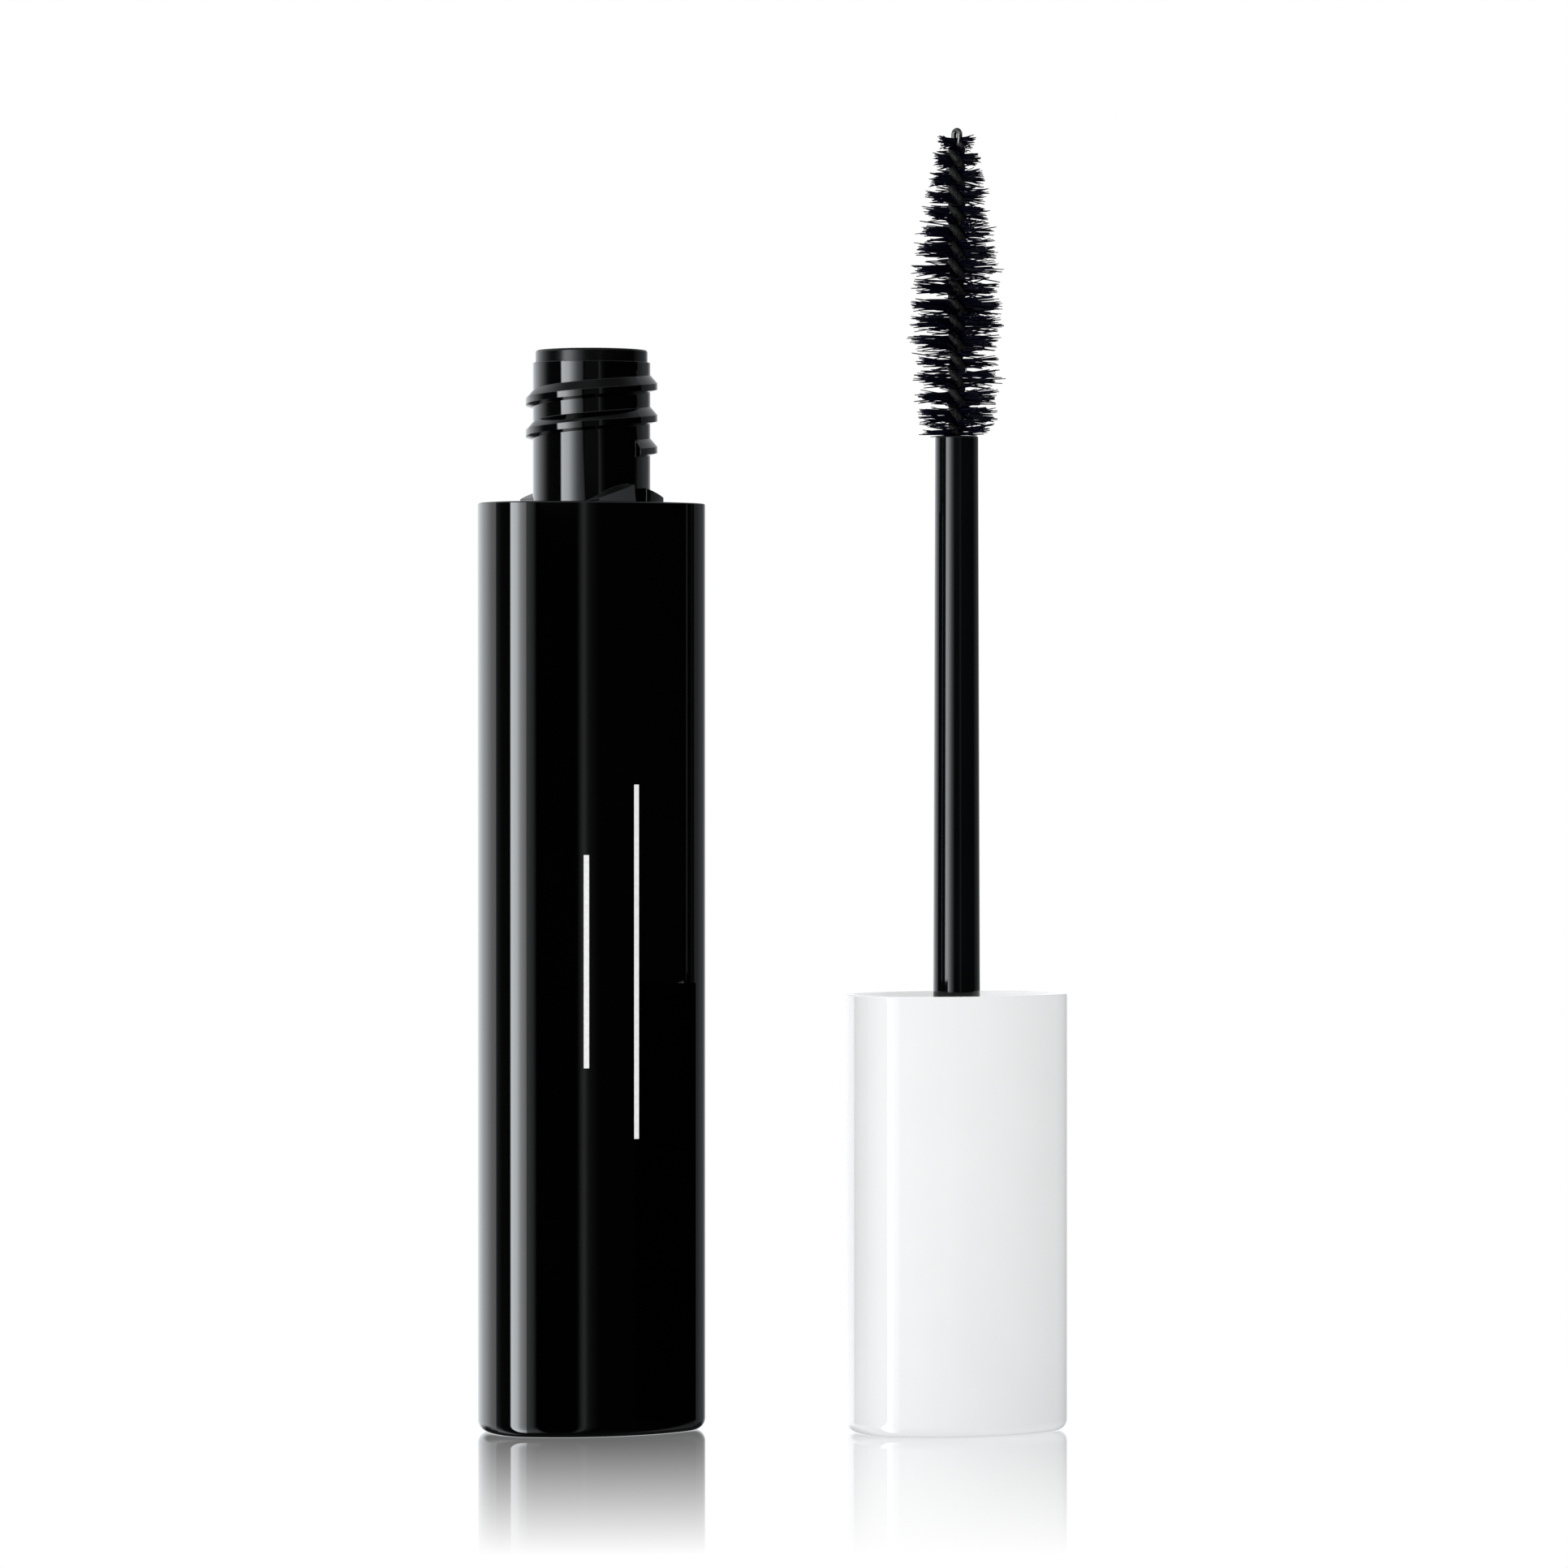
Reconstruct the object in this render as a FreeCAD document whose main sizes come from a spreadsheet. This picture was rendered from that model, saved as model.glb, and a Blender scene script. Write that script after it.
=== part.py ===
import FreeCAD, Part
import math
import os
import re

import Sketcher

# A mascara tube that has been opened. The bottle stands upright on the origin. The applicator
# (cap, wand and brush) stands upside down beside it, on the cap's closed end. Millimetres, +Z up,
# X along the long side of the bottle's section, origin at the centre of the bottle's base.

DIMENSIONS = {
    # bottle: one pillow-shaped section, four convex faces that flow together in round corners
    "bottle_height": 80.0,
    "bottle_half_length": 9.92,
    "bottle_half_depth": 6.98,
    "bottle_face_radius": 14.98,
    "bottle_end_radius": 8.3,
    "corner_radius": 4.3,
    "base_fillet": 1.0,
    "rim_break": 0.12,
    "sleeve_wall": 0.72,
    "sleeve_floor": 1.6,
    # vial inside the sleeve
    "vial_gap": 0.1,
    "vial_wall": 0.8,
    "shoulder_thickness": 1.5,
    "shoulder_gap": 0.02,
    # neck and its screw thread (right-handed, one start)
    "neck_radius": 5.08,
    "neck_height": 12.1,
    "neck_bore_radius": 4.0,
    "thread_pitch": 2.73,
    "thread_turns": 2.25,
    "thread_crest_radius": 5.7,
    "thread_crest": 0.56,
    "thread_upper_flank": 0.72,
    "thread_lower_flank": 0.2,
    "thread_start_height": 3.84,
    "thread_start_angle": -61.8,
    # stops round the foot of the neck: a ramp with a slanted front end, a notch and a lug, twice
    "ramp_start_angle": -115.0,
    "ramp_entry_angle": 12.0,
    "ramp_rise_angle": 31.5,
    "ramp_entry_height": 0.33,
    "ramp_outer_height": 1.5,
    "ramp_height": 1.56,
    "ramp_crown": 0.25,
    "ramp_foot": 0.05,
    "ramp_radius": 6.2,
    "ramp_draft": 0.24,
    "notch_angle": 7.5,
    "lug_angle": 24.0,
    "lug_radius": 6.6,
    "lug_high_end": 1.18,
    "lug_low_end": 0.44,
    # wiper
    "wiper_flange_radius": 4.83,
    "wiper_flange_thickness": 1.1,
    "wiper_flange_round": 0.2,
    "wiper_tube_radius": 3.97,
    "wiper_tube_length": 8.5,
    "wiper_wall": 0.5,
    "wiper_lip_length": 3.0,
    "orifice_radius": 2.05,
    "orifice_length": 0.8,
    # mascara paste
    "fill_height": 60.0,
    "channel_floor": 4.4,
    "channel_radius": 3.2,
    # applicator: place beside the bottle, and the cap's shell
    "applicator_spacing": 31.5,
    "applicator_bearing": -21.0,
    "cap_height": 37.7,
    "cap_half_length": 9.69,
    "cap_half_depth": 6.9,
    "cap_face_radius": 14.8,
    "cap_end_radius": 8.2,
    "cap_end_fillet": 0.93,
    "cap_wall": 0.62,
    "cap_end_thickness": 1.5,
    # threaded liner inside the cap
    "liner_radius": 6.25,
    "liner_bore_radius": 5.8,
    "liner_recess": 1.95,
    "liner_thread_depth": 0.5,
    "liner_thread_width": 0.8,
    "liner_thread_turns": 1.25,
    "liner_thread_recess": 5.7,
    "liner_upper_bore_radius": 5.2,
    "partition_recess": 14.1,
    "partition_thickness": 1.5,
    "socket_radius": 3.3,
    "socket_depth": 8.0,
    "tooth_height": 1.7,
    "tooth_angle": 5.5,
    "tooth_inner_radius": 5.25,
    # washer between liner and wiper
    "washer_outer_radius": 5.75,
    "washer_inner_radius": 3.5,
    "washer_thickness": 0.75,
    # stem
    "stem_root_radius": 2.03,
    "stem_tip_radius": 1.87,
    "stem_length": 48.1,
    "stem_flange_radius": 3.4,
    "stem_flange_thickness": 0.75,
    "stem_end_round": 0.15,
    "wire_hole_radius": 0.5,
    "wire_hole_depth": 8.0,
    # twisted wire (left-handed) and bristles
    "wire_radius": 0.235,
    "strand_offset": 0.245,
    "twist_pitch": 3.15,
    "wire_length": 26.6,
    "bristle_start": 0.9,
    "bristle_bore_radius": 0.6,
}

SHEET = "Dimensions"
THREAD_ROOT_BITE = 0.15
THREAD_ENTRY = 0.3
STOP_SECTIONS = 5
BRISTLE_OUTLINE = [(0.0, 3.1), (0.2, 3.85), (0.38, 4.1), (0.66, 3.3), (0.86, 2.4), (1.0, 1.6)]
BRISTLE_LENGTH = 25.2

doc = FreeCAD.newDocument("MascaraTube")


def write_sheet():
    """Put every driving dimension in the spreadsheet, one alias per row."""
    sheet = doc.addObject("Spreadsheet::Sheet", SHEET)
    for row, (alias, value) in enumerate(DIMENSIONS.items(), start=1):
        sheet.set(f"A{row}", alias)
        sheet.set(f"B{row}", str(value))
        sheet.setAlias(f"B{row}", alias)
    doc.recompute()
    return sheet


def bound(text):
    """Turn the words of a size into references to the sheet, so 'a + b' becomes 'Sheet.a + Sheet.b'."""
    def reference(match):
        word = match.group(0)
        return f"{SHEET}.{word}" if word in DIMENSIONS else word
    return re.sub(r"[a-z][a-z_]+", reference, text)


def size(text):
    """The value of a size that is written as an expression of driving dimensions."""
    return float(sheet.evalExpression(bound(text)))


def new_body(name):
    body = doc.addObject("PartDesign::Body", name + "_body")
    body.Label = name
    return body


def origin_feature(body, role):
    for feature in body.Origin.OriginFeatures:
        if feature.Role == role:
            return feature
    raise ValueError(role)


def new_sketch(body, name, role, height="0", turn="0"):
    """A sketch on an origin plane: raised by height on XY_Plane, or turned about Z on XZ_Plane."""
    sketch = body.newObject("Sketcher::SketchObject", name)
    sketch.AttachmentSupport = [(origin_feature(body, role), "")]
    sketch.MapMode = "FlatFace"
    if role == "XY_Plane":
        sketch.setExpression("AttachmentOffset.Base.z", bound(height))
    else:
        axis = FreeCAD.Vector(0, 1, 0)
        sketch.AttachmentOffset = FreeCAD.Placement(FreeCAD.Vector(), FreeCAD.Rotation(axis, size(turn)))
        sketch.setExpression("AttachmentOffset.Rotation.Angle", bound(turn))
    return sketch


def pin_point(sketch, geometry, end, across, up, name):
    """Fix one end of a sketch element at two sizes, measured from the sketch's origin."""
    for axis, kind, text in ((-2, "DistanceX", across), (-1, "DistanceY", up)):
        if text == "0":
            sketch.addConstraint(Sketcher.Constraint("PointOnObject", geometry, end, axis))
            continue
        index = sketch.addConstraint(Sketcher.Constraint(kind, -1, 1, geometry, end, size(text)))
        label = f"{name}_{kind}"
        sketch.renameConstraint(index, label)
        sketch.setExpression(f"Constraints.{label}", bound(text))


def outline_sketch(body, name, corners, role="XZ_Plane", height="0", turn="0"):
    """A closed straight-sided sketch whose corners are pairs of sizes."""
    sketch = new_sketch(body, name, role, height, turn)
    points = [FreeCAD.Vector(size(across), size(up), 0) for across, up in corners]
    count = len(points)
    for index in range(count):
        sketch.addGeometry(Part.LineSegment(points[index], points[(index + 1) % count]), False)
    for index in range(count):
        sketch.addConstraint(Sketcher.Constraint("Coincident", index, 2, (index + 1) % count, 1))
    for index, (across, up) in enumerate(corners):
        pin_point(sketch, index, 1, across, up, f"corner{index}")
    return sketch


def circle_sketch(body, name, radius, height):
    sketch = new_sketch(body, name, "XY_Plane", height)
    sketch.addGeometry(Part.Circle(FreeCAD.Vector(), FreeCAD.Vector(0, 0, 1), size(radius)), False)
    sketch.addConstraint(Sketcher.Constraint("Coincident", 0, 3, -1, 1))
    index = sketch.addConstraint(Sketcher.Constraint("Radius", 0, size(radius)))
    sketch.renameConstraint(index, "radius")
    sketch.setExpression("Constraints.radius", bound(radius))
    return sketch


def pillow_sketch(body, name, prefix, inset, height):
    """The section: wide faces, end faces and corners, all tangent arcs, set in from the outside by inset."""
    radii = {
        "face": f"{prefix}_face_radius - ({inset})",
        "end": f"{prefix}_end_radius - ({inset})",
        "corner": f"corner_radius - ({inset})",
    }
    face_centre = f"{prefix}_half_depth - {prefix}_face_radius"
    end_centre = f"{prefix}_half_length - {prefix}_end_radius"
    drop = -size(face_centre)
    shift = size(end_centre)
    reach = math.hypot(shift, drop)
    to_face = size(radii["face"]) - size(radii["corner"])
    to_end = size(radii["end"]) - size(radii["corner"])
    along = (to_face ** 2 - to_end ** 2 + reach ** 2) / (2 * reach)
    off = math.sqrt(to_face ** 2 - along ** 2)
    corner_x = (shift * along + drop * off) / reach
    corner_y = (drop * along - shift * off) / reach - drop
    face_turn = math.atan2(corner_y + drop, corner_x)
    end_turn = math.atan2(corner_y, corner_x - shift)
    half_turn = math.pi
    arcs = [
        ("end", shift, 0, -end_turn, end_turn),
        ("corner", corner_x, corner_y, end_turn, face_turn),
        ("face", 0, -drop, face_turn, half_turn - face_turn),
        ("corner", -corner_x, corner_y, half_turn - face_turn, half_turn - end_turn),
        ("end", -shift, 0, half_turn - end_turn, half_turn + end_turn),
        ("corner", -corner_x, -corner_y, half_turn + end_turn, half_turn + face_turn),
        ("face", 0, drop, half_turn + face_turn, 2 * half_turn - face_turn),
        ("corner", corner_x, -corner_y, 2 * half_turn - face_turn, 2 * half_turn - end_turn),
    ]
    sketch = new_sketch(body, name, "XY_Plane", height)
    for kind, centre_x, centre_y, first, last in arcs:
        centre = FreeCAD.Vector(centre_x, centre_y, 0)
        circle = Part.Circle(centre, FreeCAD.Vector(0, 0, 1), size(radii[kind]))
        sketch.addGeometry(Part.ArcOfCircle(circle, first, last), False)
    for index in range(8):
        sketch.addConstraint(Sketcher.Constraint("Tangent", index, 2, (index + 1) % 8, 1))
    pin_point(sketch, 0, 3, end_centre, "0", "right_centre")
    pin_point(sketch, 2, 3, "0", face_centre, "far_centre")
    pin_point(sketch, 4, 3, f"-({end_centre})", "0", "left_centre")
    pin_point(sketch, 6, 3, "0", f"-({face_centre})", "near_centre")
    for index, arc in enumerate(arcs):
        number = sketch.addConstraint(Sketcher.Constraint("Radius", index, size(radii[arc[0]])))
        sketch.renameConstraint(number, f"radius{index}")
        sketch.setExpression(f"Constraints.radius{index}", bound(radii[arc[0]]))
    return sketch


def pad(body, name, sketch, length, midplane=False):
    feature = body.newObject("PartDesign::Pad", name)
    feature.Profile = sketch
    feature.Midplane = midplane
    feature.setExpression("Length", bound(length))
    sketch.Visibility = False
    doc.recompute()
    return feature


def removed(body, feature, volume_before):
    """Stop if a cut took nothing away."""
    doc.recompute()
    if feature.Shape.Volume > volume_before - 0.001:
        raise RuntimeError(f"{feature.Name} cuts nothing from {body.Label}")


def pocket_up(body, name, sketch, length):
    """Cut upwards from the sketch."""
    before = body.Shape.Volume
    feature = body.newObject("PartDesign::Pocket", name)
    feature.Profile = sketch
    feature.Reversed = True
    feature.setExpression("Length", bound(length))
    removed(body, feature, before)
    return feature


def revolve(body, name, sketch, angle="360"):
    feature = body.newObject("PartDesign::Revolution", name)
    feature.Profile = sketch
    feature.ReferenceAxis = (sketch, ["V_Axis"])
    feature.setExpression("Angle", bound(angle))
    doc.recompute()
    return feature


def edges_at(body, test):
    """Names of the edges of the body's present shape that pass a test."""
    edges = enumerate(body.Shape.Edges, start=1)
    return [f"Edge{number}" for number, edge in edges if test(edge)]


def fillet(body, name, radius, test):
    base = body.Tip
    feature = body.newObject("PartDesign::Fillet", name)
    feature.Base = (base, edges_at(body, test))
    feature.setExpression("Radius", bound(radius))
    doc.recompute()
    return feature


def is_level(edge, height):
    return all(abs(vertex.Z - height) < 0.001 for vertex in edge.Vertexes)


def helix(body, name, sketch, turns, left=False):
    feature = body.newObject("PartDesign::AdditiveHelix", name)
    feature.Profile = sketch
    feature.ReferenceAxis = (sketch, ["V_Axis"])
    feature.Mode = 1
    feature.LeftHanded = left
    feature.setExpression("Pitch", bound("thread_pitch"))
    feature.setExpression("Turns", bound(turns))
    doc.recompute()
    return feature


def cup(name, prefix, height, wall, floor, end_fillet):
    """A deep cup of the pillow section, closed below, with a rounded closed end and a sharp rim."""
    body = new_body(name)
    pad(body, name + "_block", pillow_sketch(body, name + "_outside", prefix, "0", "0"), height)
    fillet(body, name + "_end", end_fillet, lambda edge: is_level(edge, 0))
    top = size(height)
    fillet(body, name + "_rim", "rim_break", lambda edge: is_level(edge, top))
    inside = pillow_sketch(body, name + "_inside", prefix, wall, floor)
    pocket_up(body, name + "_hollow", inside, height)
    return body


def make_outer_sleeve():
    return cup("outer_sleeve", "bottle", "bottle_height", "sleeve_wall", "sleeve_floor", "base_fillet")


def add_stops(body):
    """A ramp that lets the cap's tooth ride up and drop into a notch against a lug, twice over."""
    bite = f"neck_radius - {THREAD_ROOT_BITE}"
    shoulder = "bottle_height"
    foot = "bottle_height + ramp_foot"
    corners = [(bite, shoulder), ("neck_radius", shoulder), ("neck_radius", foot), (bite, foot)]
    tip = outline_sketch(body, "ramp_tip_section", corners, turn="ramp_start_angle")
    sections = []
    for index in range(STOP_SECTIONS):
        share = index / (STOP_SECTIONS - 1)
        turn = f"ramp_start_angle + ramp_entry_angle + {share} * ramp_rise_angle"
        climb = f"{share} * (ramp_outer_height - ramp_entry_height)"
        outer = f"bottle_height + ramp_entry_height + {climb}"
        still_to_climb = f"{(1 - share) ** 2} * (ramp_height - ramp_entry_height - ramp_crown)"
        inner = f"bottle_height + ramp_height - {still_to_climb}"
        edge = f"ramp_radius - ramp_draft * (ramp_entry_height + {climb}) / ramp_outer_height"
        corners = [(bite, shoulder), ("ramp_radius", shoulder), (edge, outer), (bite, inner)]
        sections.append(outline_sketch(body, f"ramp_section_{index}", corners, turn=turn))
    doc.recompute()
    entry = body.newObject("PartDesign::AdditiveLoft", "ramp_entry")
    entry.Profile = tip
    entry.Sections = [sections[0]]
    doc.recompute()
    ramp = body.newObject("PartDesign::AdditiveLoft", "ramp")
    ramp.Profile = sections[0]
    ramp.Sections = sections[1:]
    doc.recompute()
    lug_start = "ramp_start_angle + ramp_entry_angle + ramp_rise_angle + notch_angle"
    sections = []
    for index in range(STOP_SECTIONS):
        share = index / (STOP_SECTIONS - 1)
        top = f"bottle_height + lug_high_end - {share} * (lug_high_end - lug_low_end)"
        corners = [(bite, shoulder), ("lug_radius", shoulder), ("lug_radius", top), (bite, top)]
        turn = f"{lug_start} + {share} * lug_angle"
        sections.append(outline_sketch(body, f"lug_section_{index}", corners, turn=turn))
    doc.recompute()
    lug = body.newObject("PartDesign::AdditiveLoft", "lug")
    lug.Profile = sections[0]
    lug.Sections = sections[1:]
    doc.recompute()
    pair = body.newObject("PartDesign::PolarPattern", "stops_both_sides")
    pair.Originals = [entry, ramp, lug]
    pair.Axis = (origin_feature(body, "Z_Axis"), [""])
    pair.Angle = 360
    pair.Occurrences = 2
    body.Tip = pair
    doc.recompute()


def make_inner_bottle():
    """The vial, its shoulder plate, the neck with stops and thread, and the cavity through them."""
    body = new_body("inner_bottle")
    vial = pillow_sketch(body, "vial_outside", "bottle", "sleeve_wall + vial_gap", "sleeve_floor")
    pad(body, "vial_block", vial, "bottle_height - sleeve_floor")
    plate = pillow_sketch(body, "plate_outline", "bottle", "sleeve_wall + shoulder_gap",
                          "bottle_height - shoulder_thickness")
    pad(body, "shoulder_plate", plate, "shoulder_thickness")
    neck = circle_sketch(body, "neck_outside", "neck_radius", "bottle_height")
    pad(body, "neck", neck, "neck_height")
    cavity = pillow_sketch(body, "vial_inside", "bottle", "sleeve_wall + vial_gap + vial_wall",
                           "sleeve_floor + vial_wall")
    pocket_up(body, "vial_cavity", cavity,
              "bottle_height - shoulder_thickness - sleeve_floor - vial_wall")
    bore = circle_sketch(body, "neck_inside", "neck_bore_radius", "bottle_height - shoulder_thickness - 1")
    pocket_up(body, "neck_bore", bore, "neck_height + shoulder_thickness + 2")
    add_stops(body)
    start = "bottle_height + thread_start_height"
    root = f"neck_radius - {THREAD_ROOT_BITE}"
    corners = [
        (root, start),
        ("neck_radius", start),
        ("thread_crest_radius", f"{start} + thread_lower_flank"),
        ("thread_crest_radius", f"{start} + thread_lower_flank + thread_crest"),
        ("neck_radius", f"{start} + thread_lower_flank + thread_crest + thread_upper_flank"),
        (root, f"{start} + thread_lower_flank + thread_crest + thread_upper_flank"),
    ]
    profile = outline_sketch(body, "thread_profile", corners, turn="thread_start_angle")
    helix(body, "neck_thread", profile, "thread_turns")
    return body


def make_wiper():
    """A flange on the neck's rim, a tube down the bore, and a lip that narrows to the orifice."""
    body = new_body("wiper")
    rim = "bottle_height + neck_height"
    top = f"{rim} + wiper_flange_thickness"
    foot = f"{rim} - wiper_tube_length"
    lip = f"{foot} - wiper_lip_length"
    inner = "wiper_tube_radius - wiper_wall"
    corners = [
        (inner, top),
        ("wiper_flange_radius", top),
        ("wiper_flange_radius", rim),
        ("wiper_tube_radius", rim),
        ("wiper_tube_radius", foot),
        ("orifice_radius + wiper_wall", lip),
        ("orifice_radius + wiper_wall", f"{lip} - orifice_length"),
        ("orifice_radius", f"{lip} - orifice_length"),
        ("orifice_radius", lip),
        (inner, foot),
    ]
    revolve(body, "wiper_turned", outline_sketch(body, "wiper_profile", corners))
    level = size(top)
    outer = size("wiper_flange_radius")

    def flange_edge(edge):
        return is_level(edge, level) and abs(edge.BoundBox.XLength - 2 * outer) < 0.01
    fillet(body, "wiper_flange_edge", "wiper_flange_round", flange_edge)
    return body


def make_mascara_formula():
    """Paste filling the vial to its fill height, with the channel that the brush has left in it."""
    body = new_body("mascara_formula")
    inset = "sleeve_wall + vial_gap + vial_wall"
    block = pillow_sketch(body, "paste_outline", "bottle", inset, "sleeve_floor + vial_wall")
    pad(body, "paste", block, "fill_height - sleeve_floor - vial_wall")
    channel = circle_sketch(body, "channel_outline", "channel_radius", "channel_floor")
    pocket_up(body, "channel", channel, "fill_height")
    return body


def make_cap_shell():
    return cup("cap_shell", "cap", "cap_height", "cap_wall", "cap_end_thickness", "cap_end_fillet")


def make_inner_cap():
    """A full-length liner: threaded towards the rim, a partition, and a socket for the stem."""
    body = new_body("inner_cap")
    rim = "cap_height - liner_recess"
    partition = "cap_height - partition_recess"
    under = f"{partition} - partition_thickness"
    corners = [
        ("liner_radius", "cap_end_thickness"),
        ("liner_radius", rim),
        (f"liner_bore_radius + {THREAD_ENTRY} / 2", rim),
        ("liner_bore_radius", f"{rim} - {THREAD_ENTRY}"),
        ("liner_bore_radius", partition),
        ("stem_root_radius", partition),
        ("stem_root_radius", f"{partition} - socket_depth"),
        ("socket_radius", f"{partition} - socket_depth"),
        ("socket_radius", under),
        ("liner_upper_bore_radius", under),
        ("liner_upper_bore_radius", "cap_end_thickness"),
    ]
    revolve(body, "liner_turned", outline_sketch(body, "liner_profile", corners))
    notch_middle = "ramp_start_angle + ramp_entry_angle + ramp_rise_angle + notch_angle / 2"
    tooth_foot = f"{rim} - 0.1"
    corners = [
        ("tooth_inner_radius + 0.6", tooth_foot),
        ("liner_radius", tooth_foot),
        ("liner_radius", f"{rim} + tooth_height"),
        ("tooth_inner_radius", f"{rim} + tooth_height"),
        ("tooth_inner_radius", f"{rim} + tooth_height - 0.9"),
    ]
    tooth_sketch = outline_sketch(body, "tooth_section", corners, turn=f"-({notch_middle})")
    tooth = body.newObject("PartDesign::Revolution", "tooth")
    tooth.Profile = tooth_sketch
    tooth.ReferenceAxis = (tooth_sketch, ["V_Axis"])
    tooth.Midplane = True
    tooth.setExpression("Angle", bound("tooth_angle"))
    doc.recompute()
    pair = body.newObject("PartDesign::PolarPattern", "teeth_both_sides")
    pair.Originals = [tooth]
    pair.Axis = (origin_feature(body, "Z_Axis"), [""])
    pair.Angle = 360
    pair.Occurrences = 2
    body.Tip = pair
    doc.recompute()
    middle = "cap_height - liner_thread_recess - liner_thread_turns * thread_pitch"
    bite = "liner_bore_radius + 0.15"
    tip = "liner_bore_radius - liner_thread_depth"
    corners = [
        (bite, f"{middle} - liner_thread_width / 2"),
        (bite, f"{middle} + liner_thread_width / 2"),
        (tip, f"{middle} + liner_thread_width / 4"),
        (tip, f"{middle} - liner_thread_width / 4"),
    ]
    helix(body, "liner_thread", outline_sketch(body, "liner_thread_profile", corners), "liner_thread_turns")
    return body


def make_seal_washer():
    """A flat ring under the partition, between the liner and the wiper's flange."""
    low = "cap_height - partition_recess"
    high = f"{low} + washer_thickness"
    body = new_body("seal_washer")
    corners = [
        ("washer_inner_radius", low),
        ("washer_outer_radius", low),
        ("washer_outer_radius", high),
        ("washer_inner_radius", high),
    ]
    revolve(body, "washer_turned", outline_sketch(body, "washer_profile", corners))
    return body


def make_stem():
    """The rod: a root in the socket, a flange under the partition, and a long taper with a wire hole."""
    body = new_body("stem")
    partition = "cap_height - partition_recess"
    tip = "cap_height + stem_length"
    root_gap = "stem_root_radius - 0.02"
    corners = [
        ("0", f"{partition} - socket_depth"),
        (root_gap, f"{partition} - socket_depth"),
        (root_gap, partition),
        ("stem_flange_radius", partition),
        ("stem_flange_radius", f"{partition} + stem_flange_thickness"),
        ("stem_root_radius", f"{partition} + stem_flange_thickness"),
        ("stem_root_radius", "cap_height"),
        ("stem_tip_radius", tip),
        ("wire_hole_radius", tip),
        ("wire_hole_radius", f"{tip} - wire_hole_depth"),
        ("0", f"{tip} - wire_hole_depth"),
    ]
    revolve(body, "stem_turned", outline_sketch(body, "stem_profile", corners))
    level = size(tip)
    across = 2 * size("stem_tip_radius")

    def end_edge(edge):
        return is_level(edge, level) and abs(edge.BoundBox.XLength - across) < 0.01
    fillet(body, "stem_end_edge", "stem_end_round", end_edge)
    return body


def make_wire_core():
    """One wire folded in half: two strands wound left-handed round each other, joined by a fold."""
    wire = size("wire_radius")
    offset = size("strand_offset")
    pitch = size("twist_pitch")
    low = size("cap_height + stem_length - wire_hole_depth + 0.1")
    fold = size("cap_height + stem_length + wire_length") - offset - wire
    strand_length = fold - low
    turns = strand_length / pitch
    helix_edge = Part.makeHelix(pitch, strand_length, offset, 0, True)
    up = FreeCAD.Vector(0, -2 * math.pi * offset, pitch)
    circle = Part.Wire(Part.makeCircle(wire, FreeCAD.Vector(offset, 0, 0), up))
    strand = Part.Wire(helix_edge).makePipeShell([circle], True, True)
    strand.translate(FreeCAD.Vector(0, 0, low))
    other = strand.copy()
    other.rotate(FreeCAD.Vector(), FreeCAD.Vector(0, 0, 1), 180)
    ring = Part.makeTorus(offset, wire, FreeCAD.Vector(0, 0, fold), FreeCAD.Vector(0, 1, 0))
    upper = Part.makeBox(4, 4, 4, FreeCAD.Vector(-2, -2, fold - 0.05))
    ring = ring.common(upper)
    ring.rotate(FreeCAD.Vector(0, 0, fold), FreeCAD.Vector(0, 0, 1), -360 * turns)
    feature = doc.addObject("Part::Feature", "wire_core_shape")
    feature.Label = "wire_core"
    feature.Shape = strand.fuse([other, ring])
    return feature


def make_bristles():
    """A plain solid of the brush's outer shape round the wire."""
    body = new_body("bristles")
    base = "cap_height + stem_length + bristle_start"
    corners = [(str(radius), f"{base} + {share * BRISTLE_LENGTH}") for share, radius in BRISTLE_OUTLINE]
    corners.append(("bristle_bore_radius", f"{base} + {BRISTLE_LENGTH}"))
    corners.append(("bristle_bore_radius", base))
    revolve(body, "brush_turned", outline_sketch(body, "brush_profile", corners))
    return body


def place_beside(feature):
    """Stand an applicator piece beside the bottle."""
    bearing = math.radians(size("applicator_bearing"))
    spacing = size("applicator_spacing")
    place = FreeCAD.Vector(spacing * math.cos(bearing), spacing * math.sin(bearing), 0)
    feature.Placement = FreeCAD.Placement(place, FreeCAD.Rotation())


def check(features):
    for item in doc.Objects:
        if any(state in ("Invalid", "Error") for state in item.State):
            raise RuntimeError(f"{item.Name} failed: {item.State}")
    for feature in features:
        shape = feature.Shape
        if shape.isNull() or not shape.isValid() or len(shape.Solids) != 1:
            raise RuntimeError(f"{feature.Label} is not one valid solid")


sheet = write_sheet()
bottle_pieces = [make_outer_sleeve(), make_inner_bottle(), make_wiper(), make_mascara_formula()]
applicator_pieces = [
    make_cap_shell(),
    make_inner_cap(),
    make_seal_washer(),
    make_stem(),
    make_wire_core(),
    make_bristles(),
]
for piece in applicator_pieces:
    place_beside(piece)
doc.recompute()
check(bottle_pieces + applicator_pieces)
os.makedirs("parts", exist_ok=True)
for piece in bottle_pieces + applicator_pieces:
    piece.Shape.exportStep(f"parts/{piece.Label}.step")
    box = piece.Shape.BoundBox
    print(f"{piece.Label}: volume {piece.Shape.Volume:.1f}, z {box.ZMin:.2f} to {box.ZMax:.2f}")
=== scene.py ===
import math

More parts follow.
